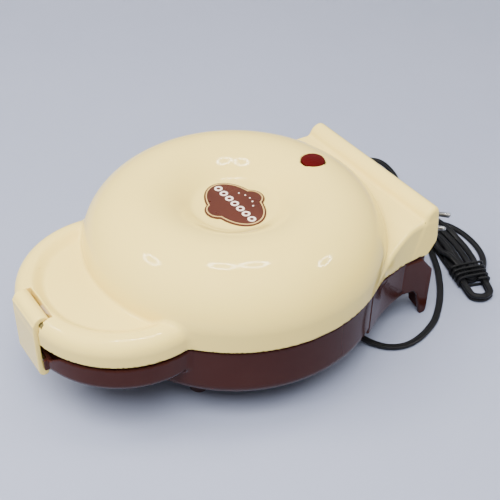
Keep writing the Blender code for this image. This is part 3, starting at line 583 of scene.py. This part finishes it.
def base_field(x, y, z):
    """The hollow base with its legs, ears, latch catch and the openings under it."""
    outer = base_outer(x, y, z)
    r = np.hypot(x, y)
    hollow = outer + SKIN
    ring = np.maximum(slab(r, BASE_R - 1.25, 1.25), BASE_FLOOR - z)
    hollow = np.maximum(hollow, -ring)
    top = z - base_top(x, y)
    solid = both(both(outer, top, 0.7), -hollow, 0.5)
    catch = np.maximum(np.maximum(slab(x, 0.0, 19.0), slab(y, -144.3, 2.7)), slab(z, 49.5, 6.0))
    solid = np.minimum(solid, np.maximum(catch, top))
    cover_way = np.maximum(r - 78.2, z - 30.0)
    wire_way = np.maximum(np.maximum(slab(x, 0.0, 14.0), slab(y, 97.0, 7.0)), slab(z, 38.0, 8.0))
    solid = np.maximum(np.maximum(solid, -cover_way), -wire_way)
    solid = either(solid, leg_field(x, y, z), 0.5)
    solid = either(solid, ear_field(x, y, z), 0.8)
    hinge_way = np.maximum(np.hypot(y - HINGE_Y, z - HINGE_Z) - HINGE_BORE_R,
                           slab(np.abs(x), EAR_X, EAR_HALF + 3.0))
    flat = np.maximum(slab(x, 0.0, 16.3), y + 144.0 + 0.075 * (z - 43.0))
    solid = both(solid, -flat, 0.6)
    return np.maximum(solid, -hinge_way)


def make_base(mats):
    mesh = solid_mesh("base_skin", base_field, (-102, -152, -3), (102, 123, 80), CELL)
    link_piece("base_skin", mesh, mats["brown"], "base", "brown_plastic", "base_shell")


# ---------------------------------------------------------------- plates

def cup_centres():
    turns = (math.radians(30.0 + 60.0 * i) for i in range(6))
    return [(0.0, 0.0)] + [(CUP_CIRCLE * math.cos(a), CUP_CIRCLE * math.sin(a)) for a in turns]


def plate_field(face, way):
    """Field of a plate whose cups open upwards (way 1) or downwards (way -1)."""
    def field(x, y, z):
        depth = way * (face - z)
        solid = both(np.hypot(x, y) - PLATE_R, slab(depth, 1.5, 1.5), 0.8)
        cups = np.full(np.shape(x), 1e3)
        for cx, cy in cup_centres():
            r = np.hypot(x - cx, y - cy)
            hub = both(r - 27.8, slab(depth, 7.2, 6.1), 2.4)
            solid = either(solid, hub, 1.2)
            tube = (np.hypot((r - CUP_MIDDLE) / CUP_HALF, depth / CUP_DEPTH) - 1.0) * 9.4
            cups = np.minimum(cups, tube)
        solid = both(solid, -cups, 0.9)
        for turn in (60.0, 120.0, 240.0, 300.0):
            sx, sy = 85.0 * math.cos(math.radians(turn)), 85.0 * math.sin(math.radians(turn))
            bore = np.maximum(np.hypot(x - sx, y - sy) - 3.4, depth - 2.0)
            solid = np.maximum(solid, -bore)
        return solid
    return field


def make_plates(mats):
    sides = (("lower", LOWER_FACE, 1.0, "base"), ("upper", UPPER_FACE, -1.0, "lid"))
    for side, face, way, body in sides:
        name = f"{side}_plate_cast"
        low, high = sorted((face + way * 3.0, face - way * 16.0))
        mesh = solid_mesh(name, plate_field(face, way), (-94, -94, low), (94, 94, high), PLATE_CELL)
        link_piece(name, mesh, mats["coating"], body, "plate_coating", f"{side}_plate")


# ---------------------------------------------------------------- small parts

def make_latch(mats):
    """Clip with a round barrel, a flat face and a turned-in lip."""
    def field(x, y, z):
        from_pin = np.hypot(y - LATCH_Y, z - LATCH_Z)
        plate = polygon(y, z, [(-149.3, 77.5), (-149.8, 70.0), (-149.8, 41.5), (-149.3, 38.8),
                               (-147.4, 36.9), (-144.6, 37.0), (-143.4, 38.2), (-143.4, 40.2),
                               (-146.4, 42.6), (-146.4, 70.0), (-143.0, 74.0), (-143.6, 77.5)])
        shape = either(from_pin - LATCH_BARREL_R, plate, 1.2)
        solid = both(shape, np.abs(x) - LATCH_HALF, 0.9)
        return np.maximum(solid, LATCH_BORE_R - from_pin)

    mesh = solid_mesh("latch_skin", field, (-17, -153, 34), (17, -136, 85), LATCH_CELL)
    link_piece("latch_skin", mesh, mats["cream"], "latch", "cream_plastic", "latch_clip")


def plaque_ring(bm, inset, height):
    """Outline of the plaque: a wide oval with a round bump in the middle of each long side."""
    ring = []
    for c, s in around(144, 0.5):
        radius = 1.0 / math.hypot(c / (PLAQUE_HALF_X - inset), s / (PLAQUE_HALF_Y - inset))
        inside = (PLAQUE_BUMP_R - inset) ** 2 - (PLAQUE_BUMP_Y * c) ** 2
        if inside > 0.0:
            radius = max(radius, PLAQUE_BUMP_Y * abs(s) + math.sqrt(inside))
        ring.append(bm.verts.new((radius * c, radius * s, height)))
    return ring


def add_disc(bm, centre, radius):
    """A small raised dot on the plaque."""
    rings = [circle(bm, centre, radius, height, 32) for height in (MARK_LOW, MARK_TOP)]
    join_rings(bm, rings)
    close_ends(bm, rings)


def add_ring(bm, centre, inner, outer):
    """A small raised ring on the plaque."""
    section = ((inner, MARK_LOW), (outer, MARK_LOW), (outer, MARK_TOP), (inner, MARK_TOP))
    rings = [circle(bm, centre, radius, height, 32) for radius, height in section]
    join_rings(bm, rings + rings[:1])


def make_plaque(mats):
    bm = bmesh.new()
    section = ((0.0, PLAQUE_FOOT), (0.0, PLAQUE_FOOT + 0.45), (0.25, PLAQUE_FOOT + 0.7))
    rings = [plaque_ring(bm, inset, height) for inset, height in section]
    join_rings(bm, rings)
    close_ends(bm, rings)
    link_piece("badge_plaque", from_bmesh(bm, "badge_plaque"), mats["badge"], "lid", "badge_brown",
               "badge")


def make_border(mats):
    bm = bmesh.new()
    section = ((1.1, MARK_LOW), (1.1, MARK_TOP), (1.9, MARK_TOP), (1.9, MARK_LOW))
    rings = [plaque_ring(bm, inset, height) for inset, height in section]
    join_rings(bm, rings + rings[:1])
    link_piece("badge_border", from_bmesh(bm, "badge_border"), mats["gold"], "lid", "badge_brown")


def make_badge(mats):
    """Plain plaque with a pale border line, a row of small rings and an arc of dots."""
    make_plaque(mats)
    make_border(mats)
    bm = bmesh.new()
    for place in range(-3, 4):
        add_ring(bm, (6.6 * place, 0.0), 1.35, 2.75)
    for place in range(-2, 3):
        add_disc(bm, (4.2 * place, 11.6 - 0.75 * place ** 2), 0.6)
    link_piece("badge_marks", from_bmesh(bm, "badge_marks"), mats["pale"], "lid", "badge_brown")


def make_lamp(mats):
    """Red lens, slightly crowned, with a lip under the skin."""
    crown_r, crown = LAMP_R - 0.4, 0.55
    crown_foot = LAMP_TOP - crown
    profile = [(0.0, LAMP_FOOT), (LAMP_FLANGE_R, LAMP_FOOT), (LAMP_FLANGE_R, LAMP_FOOT + 1.4),
               (LAMP_R, LAMP_FOOT + 1.4), (LAMP_R, crown_foot - 0.45), (crown_r, crown_foot)]
    for step in range(1, 9):
        left = 1.0 - step / 8.0
        profile.append((crown_r * left, crown_foot + crown * (1.0 - left ** 2)))
    link_piece("lamp_cap", revolved("lamp_cap", profile, (0.0, LAMP_Y), 64), mats["red"],
               "lid", "lamp_red", "lamp_lens")


def make_feet(mats):
    for name, side in (("left", -1.0), ("right", 1.0)):
        profile = [(0.0, 0.0), (5.0, 0.0), (5.9, 0.3), (6.4, 1.0), (7.0, 7.0), (7.5, 13.6), (0.0, 13.7)]
        piece = revolved(f"foot_{name}", profile, (side * FOOT_X, FOOT_Y), 48)
        link_piece(f"foot_{name}", piece, mats["foot"], "base", "foot_plastic", f"front_foot_{name}")


CAD_LOOKS = {
    "brown": ["bottom_cover", "wire_cover"],
    "glass": ["lamp_bulb", "thermal_fuse"],
    "ceramic": ["thermostat", "terminal_block", "lower_lead", "upper_lead"],
    "cord": ["strain_relief"],
    "steel": ["latch_pin", "hinge_pin_left", "hinge_pin_right", "upper_heater", "lower_heater",
              "upper_reflector", "lower_reflector"],
}


for kind in ("upper_plate", "lower_plate", "cover"):
    CAD_LOOKS["steel"] += [f"{kind}_screw_{number}" for number in range(1, 5)]


def paint_cad(mats):
    """Give the CAD nodes that stay their procedural materials."""
    for look, names in CAD_LOOKS.items():
        for name in names:
            for holder in bpy.data.objects[name].material_slots:
                holder.material = mats[look]


# ---------------------------------------------------------------- cord

CORD_WIDTH = 5.0
CORD_LOBE_R = 1.42
CORD_STEP = 2.6
CORD_ROUTE = [
    (55.0, 53.6, 8.0), (60.8, 56.3, 7.2), (67.0, 59.4, 5.2), (74.0, 63.6, 3.3),
    (81.0, 69.0, 2.3), (86.0, 76.0, 1.9), (88.6, 84.5, 1.8), (88.0, 95.0, 1.8),
    (84.5, 107.0, 1.8), (78.9, 118.5, 1.8), (67.5, 132.8, 1.8), (56.4, 143.6, 1.8),
    (48.7, 149.8, 1.8), (42.6, 154.4, 1.8), (36.1, 158.6, 1.8), (24.0, 165.4, 1.8),
]
TAIL_ROUTE = [
    (-57.5, 200.6, 1.6), (-66.0, 206.2, 1.6), (-76.0, 211.6, 1.6),
    (-86.5, 214.4, 1.6), (-95.5, 215.4, 1.6), (-102.8, 213.2, 1.6), (-107.6, 206.6, 1.6),
    (-109.6, 197.0, 1.6), (-109.0, 184.0, 1.6), (-105.0, 170.0, 1.6), (-97.0, 157.5, 1.6),
    (-86.0, 148.0, 2.0), (-75.0, 142.0, 3.6), (-64.0, 138.8, 6.4), (-55.5, 138.0, 9.6),
    (-51.0, 138.9, 10.8), (-47.4, 140.9, 11.33),
]
HANK_A = Vector((71.9, 167.2, 0.0))
HANK_B = Vector((-30.3, 202.1, 0.0))
HANK_ALONG = (HANK_A - HANK_B).normalized()
HANK_ACROSS = Vector((-HANK_ALONG.y, HANK_ALONG.x, 0.0))
HANK_BEND = 11.0
HANK_STRAIGHT = 62.0
NECK = 97.0
TIE_START = 84.5
TIE_WIRE_R = 1.05
PLUG_PIN_SPREAD = 9.3
PLUG_FACE = Vector((-0.25, 175.35, 17.2))
PLUG_DIR = Vector((0.807, 0.590, 0.100)).normalized()
PLUG_ACROSS = Vector((-PLUG_DIR.y, PLUG_DIR.x, 0.0)).normalized()
PLUG_UP = PLUG_DIR.cross(PLUG_ACROSS)


def smooth_route(points, spacing):
    """Evenly spaced points on a Catmull-Rom curve through the route's own points."""
    nodes = [Vector(p) for p in points]
    nodes = [2.0 * nodes[0] - nodes[1]] + nodes + [2.0 * nodes[-1] - nodes[-2]]
    dense = []
    for a, b, c, d in zip(nodes, nodes[1:], nodes[2:], nodes[3:]):
        for step in range(24):
            t = step / 24.0
            dense.append(0.5 * (2.0 * b + (c - a) * t + (2.0 * a - 5.0 * b + 4.0 * c - d) * t ** 2
                                + (3.0 * b - a - 3.0 * c + d) * t ** 3))
    dense.append(nodes[-2])
    lengths = np.concatenate([[0.0], np.cumsum([(b - a).length for a, b in zip(dense, dense[1:])])])
    count = max(2, round(lengths[-1] / spacing))
    places = np.linspace(0.0, lengths[-1], count + 1)
    columns = [np.interp(places, lengths, [p[k] for p in dense]) for k in range(3)]
    return [Vector(p) for p in zip(*columns)]


def end_turn(place, centre, radius, height, way):
    """Half a turn at one end of the hank: way is 1 at the right end, -1 at the left."""
    points = []
    for angle in (-65.0, -35.0, 0.0, 35.0, 65.0):
        c, s = math.cos(math.radians(angle)), math.sin(math.radians(angle))
        points.append((place + way * radius * c, centre - way * radius * s, height))
    return points


def hank_laps():
    """The folds as (along, across, height): two outer laps, two inner ones and a last strand."""
    low, high, top = 1.6, 4.45, 7.3
    laps = [(50.0, -14.6, 1.9), (38.0, -12.2, low), (22.0, -11.1, low), (8.0, -11.0, low)]
    laps += end_turn(0.0, -0.7, 10.3, low, -1.0)
    laps += [(s, c, low) for s, c in (
        (8.0, 9.6), (18.0, 8.9), (25.0, 11.0), (32.0, 16.4), (41.0, 19.1), (50.0, 20.0),
        (60.0, 20.4), (70.0, 20.0), (79.0, 17.6), (86.0, 13.8), (92.0, 10.2), (101.0, 7.0))]
    laps += end_turn(111.0, -2.0, 8.2, low, 1.0)
    laps += [(100.0, -10.3, low), (80.0, -10.8, low), (64.0, -11.0, 1.8), (52.0, -11.2, 3.2),
             (42.0, -11.2, high), (22.0, -11.1, high), (8.0, -11.0, high)]
    laps += end_turn(0.0, -0.7, 10.3, high, -1.0)
    laps += [(8.0, 9.6, high), (24.0, 9.6, high), (38.0, 10.2, 4.4), (50.0, 11.0, 2.2), (60.0, 11.4, low),
             (74.0, 11.0, 1.8), (84.0, 8.4, 3.4), (92.0, 6.6, high), (102.0, 6.2, high)]
    laps += end_turn(111.0, -2.0, 8.2, high, 1.0)
    laps += [(100.0, -10.3, high), (84.0, -10.7, high), (74.0, -10.2, high), (64.0, -6.6, 4.3),
             (55.0, -6.0, 2.5), (46.0, -6.0, low), (24.0, -6.0, low), (8.0, -6.0, low)]
    laps += end_turn(0.0, -0.75, 5.25, low, -1.0)
    laps += [(8.0, 4.5, low), (30.0, 2.4, low), (56.0, -0.2, low), (76.0, -0.4, low), (88.0, 1.2, low)]
    laps += end_turn(95.0, -1.8, 4.2, low, 1.0)
    laps += [(88.0, -6.0, 1.7), (80.0, -5.8, 2.7), (72.0, -5.8, 6.0), (62.0, -6.3, top),
             (50.0, -6.2, 6.8), (40.0, -6.0, 4.7), (24.0, -6.0, high), (8.0, -6.0, high)]
    laps += end_turn(0.0, -0.75, 5.25, high, -1.0)
    laps += [(8.0, 4.5, high), (30.0, 5.0, 4.3), (46.0, 5.6, 2.4), (60.0, 5.6, low), (76.0, 4.9, 2.2),
             (88.0, 2.8, high)]
    laps += end_turn(95.0, -1.8, 4.2, high, 1.0)
    laps += [(88.0, -6.0, 4.6), (82.0, -6.6, 6.4), (74.0, -9.2, 8.3), (64.0, -11.4, 5.8),
             (54.0, -11.5, 6.1), (44.0, -11.3, top), (26.0, -11.0, top), (10.0, -9.0, top),
             (0.0, -4.5, top), (-9.0, -1.8, 7.2), (-15.5, -0.8, 5.2), (-22.0, -0.2, 3.0)]
    return laps


def hank_place(along_hank, across_hank, height=0.0):
    """A point beside the hank's axis, whose left end bends towards the appliance."""
    share = min(max(along_hank / HANK_STRAIGHT, 0.0), 1.0)
    bend = HANK_BEND * (1.0 - share * share * (3.0 - 2.0 * share))
    return (HANK_B + HANK_ALONG * along_hank + HANK_ACROSS * (across_hank - bend)
            + Vector((0.0, 0.0, height)))


def twin_cord(name, route, mat):
    """Flat twin cord: two round leads side by side, joined by a web."""
    bm = bmesh.new()
    outline = []
    for side in (1.0, -1.0):
        for step in range(9):
            angle = math.radians(-126.0 + 252.0 * step / 8.0)
            u = side * ((CORD_WIDTH / 2.0 - CORD_LOBE_R) + CORD_LOBE_R * math.cos(angle))
            outline.append((u, side * CORD_LOBE_R * math.sin(angle)))
    rings = []
    for i, point in enumerate(route):
        ahead = route[min(i + 1, len(route) - 1)] - route[max(i - 1, 0)]
        side = ahead.cross(Vector((0.0, 0.0, 1.0))).normalized()
        normal = side.cross(ahead.normalized())
        rings.append([bm.verts.new(point + side * u + normal * v) for u, v in outline])
    close_ends(bm, rings)
    join_rings(bm, rings)
    return from_bmesh(bm, name, 60.0)


def lift(along_hank):
    """The tie's wire passes under the folds and lifts them a little at the neck."""
    return 1.5 * math.exp(-((along_hank - NECK) / 15.0) ** 2)


def make_cord(mats):
    """One cord from the strain relief through the folds to the plug."""
    laps = [hank_place(s, c, z + lift(s)) for s, c, z in hank_laps()]
    route = smooth_route(CORD_ROUTE + laps + TAIL_ROUTE, CORD_STEP)
    mesh = twin_cord("mains_cord", route, mats["cord"])
    piece = link_piece("mains_cord", mesh, mats["cord"], "base", "cord_black",
                       "power_cord", "cord_tail", "cord_hank")
    tie = make_tie(mats)
    plug = make_plug(mats)


def tube(bm, route, radii, segments=12):
    """Add a round tube with its own radius at every point of the route."""
    rings = []
    for i, (point, radius) in enumerate(zip(route, radii)):
        ahead = (route[min(i + 1, len(route) - 1)] - route[max(i - 1, 0)]).normalized()
        side = ahead.orthogonal() if i == 0 else side - ahead * side.dot(ahead)
        side.normalize()
        normal = ahead.cross(side)
        rings.append([bm.verts.new(point + side * (radius * c) + normal * (radius * s))
                      for c, s in around(segments)])
    close_ends(bm, rings)
    join_rings(bm, rings)


def make_tie(mats):
    """Coated wire wound round the neck of the hank."""
    turns, steps, pitch, low, high = 4.5, 44, 4.5, 1.2, 9.0
    route = []
    for i in range(int(turns * steps) + 1):
        angle = -0.5 * math.pi + 2.0 * math.pi * i / steps
        c, s = math.cos(angle), math.sin(angle)
        shift = pitch * i / steps
        reach = 12.6 - 0.16 * shift if c > 0.0 else 14.4 - 0.04 * shift
        u = reach * math.copysign(abs(c) ** 0.45, c)
        v = (low + high) / 2.0 + (high - low) / 2.0 * math.copysign(abs(s) ** 0.6, s)
        route.append(hank_place(TIE_START + shift, u, v))
    bm = bmesh.new()
    tube(bm, route, [TIE_WIRE_R] * len(route), 8)
    mesh = from_bmesh(bm, "wire_tie", 60.0)
    return link_piece("wire_tie", mesh, mats["cord"], "base", "cord_black", "cord_tie")


def plug_ring(bm, back, half_width, half_thick, roundness):
    """One cross-section of the plug at a distance behind its face."""
    ring = []
    for c, s in around(40, 0.5):
        u = math.copysign(abs(c) ** roundness, c) * half_width
        v = math.copysign(abs(s) ** roundness, s) * half_thick
        ring.append(bm.verts.new(PLUG_FACE - PLUG_DIR * back + PLUG_ACROSS * u + PLUG_UP * v))
    return ring


def plug_sections():
    """Distance behind the face, half width, half thickness and roundness of each section."""
    sections = [(0.0, 12.3, 5.2, 0.5), (0.4, 13.1, 5.9, 0.5), (1.4, 13.5, 6.3, 0.5),
                (9.0, 13.4, 6.6, 0.5), (16.0, 13.0, 6.7, 0.52)]
    for rib in range(4):
        place, slim = 17.5 + 2.6 * rib, 0.45 * rib
        sections += [(place, 12.9 - slim, 6.7, 0.55), (place + 0.5, 12.3 - slim, 6.0, 0.55),
                     (place + 1.4, 12.2 - slim, 5.9, 0.55), (place + 1.9, 12.6 - slim, 6.5, 0.55)]
    sections += [(29.0, 10.6, 6.2, 0.6), (33.0, 8.0, 5.6, 0.75), (36.0, 5.4, 4.9, 0.95)]
    for rib in range(8):
        place, r = 37.0 + 2.5 * rib, 4.4 - 0.13 * rib
        sections += [(place, r, r, 1.0), (place + 1.4, r, r, 1.0),
                     (place + 1.6, r - 0.9, r - 0.9, 1.0), (place + 2.3, r - 0.9, r - 0.9, 1.0)]
    return sections + [(58.0, 3.0, 3.0, 1.0)]


def make_pin(name, side, mats):
    """Round plug pin whose inner half is sleeved."""
    sleeve_end = 9.9
    profile = [(0.35, 1.9), (9.6, 1.9), (10.0, 1.65), (10.3, 2.0), (17.2, 2.0), (18.3, 1.6),
               (19.0, 0.8)]
    foot = PLUG_FACE + PLUG_ACROSS * (side * PLUG_PIN_SPREAD)
    bm = bmesh.new()
    tube(bm, [foot + PLUG_DIR * reach for reach, radius in profile],
         [radius for reach, radius in profile], 24)
    mesh = from_bmesh(bm, f"pin_{name}", 50.0)
    pin = link_piece(f"pin_{name}", mesh, mats["steel"], "base", "steel", f"plug_pin_{name}")
    mesh.materials.append(mats["cord"])
    for face in mesh.polygons:
        if (face.center - world(foot)).dot(PLUG_DIR) < sleeve_end * MM:
            face.material_index = 1
    return pin


def make_plug(mats):
    """Flat two-pin plug with a ribbed grip and a ribbed neck."""
    bm = bmesh.new()
    rings = [plug_ring(bm, *section) for section in plug_sections()]
    close_ends(bm, rings)
    join_rings(bm, rings)
    body = link_piece("plug_moulding", from_bmesh(bm, "plug_moulding", 40.0), mats["cord"],
                      "base", "cord_black", "plug_body")
    return [body, make_pin("left", 1.0, mats), make_pin("right", -1.0, mats)]


# ---------------------------------------------------------------- floor and light

CEILING = 2000.0
LAMP_TUBE_R = 24.0
RING_LAMPS = [(-150.0, -90.0, 165.0), (0.0, 300.0, 165.0), (-920.0, -1270.0, 230.0),
              (1000.0, 1650.0, 240.0)]


def area_light(name, place, target, size, power, colour):
    """Square soft light; it lights the object but doesn't mirror in its gloss."""
    data = bpy.data.lights.new(name, "AREA")
    data.shape = "RECTANGLE"
    data.size = data.size_y = size
    data.energy = power
    data.color = colour
    light = bpy.data.objects.new(name, data)
    light.location = place
    light.rotation_euler = (Vector(target) - Vector(place)).to_track_quat("-Z", "Y").to_euler()
    light.visible_glossy = False
    bpy.context.scene.collection.objects.link(light)


def make_ring_lamps():
    """Round tubes on the ceiling; they show as small rings on the glossy lid."""
    mat, nodes, links = new_material("lamp_tube")
    shader = nodes["Principled BSDF"]
    shader.inputs["Emission Color"].default_value = (1.0, 0.96, 0.88, 1.0)
    shader.inputs["Emission Strength"].default_value = 52.0
    bm = bmesh.new()
    for x, y, radius in RING_LAMPS:
        turns = around(64)
        route = [Vector((x + radius * c, y + radius * s, CEILING)) for c, s in turns + turns[:1]]
        tube(bm, route, [LAMP_TUBE_R] * len(route), 8)
    lamps = bpy.data.objects.new("ceiling_lamps", from_bmesh(bm, "ceiling_lamps", 60.0))
    lamps.data.materials.append(mat)
    bpy.context.scene.collection.objects.link(lamps)


def make_floor(mats):
    bm = bmesh.new()
    bmesh.ops.create_grid(bm, x_segments=1, y_segments=1, size=15.0)
    mesh = bpy.data.meshes.new("floor")
    bm.to_mesh(mesh)
    bm.free()
    mesh.materials.append(mats["floor"])
    floor = bpy.data.objects.new("floor", mesh)
    bpy.context.scene.collection.objects.link(floor)


def make_studio(mats):
    """Pale floor, even surrounding light, a key light at the front left and a fill above."""
    make_floor(mats)
    world_data = bpy.data.worlds.new("studio")
    world_data.use_nodes = True
    background = world_data.node_tree.nodes["Background"]
    background.inputs["Color"].default_value = (0.86, 0.87, 0.91, 1.0)
    background.inputs["Strength"].default_value = 0.52
    bpy.context.scene.world = world_data
    make_ring_lamps()
    area_light("key", (-0.35, -0.95, 1.5), (0.0, 0.0, 0.05), 1.2, 44.0, (1.0, 0.98, 0.95))
    area_light("fill", (0.50, -0.35, 1.15), (0.20, -0.10, 0.0), 0.7, 27.0, (0.96, 0.98, 1.0))


make_camera()
MATS = make_materials()
make_cord(MATS)
make_studio(MATS)
make_lid(MATS)
make_base(MATS)
make_plates(MATS)
make_latch(MATS)
make_badge(MATS)
make_lamp(MATS)
make_feet(MATS)
paint_cad(MATS)
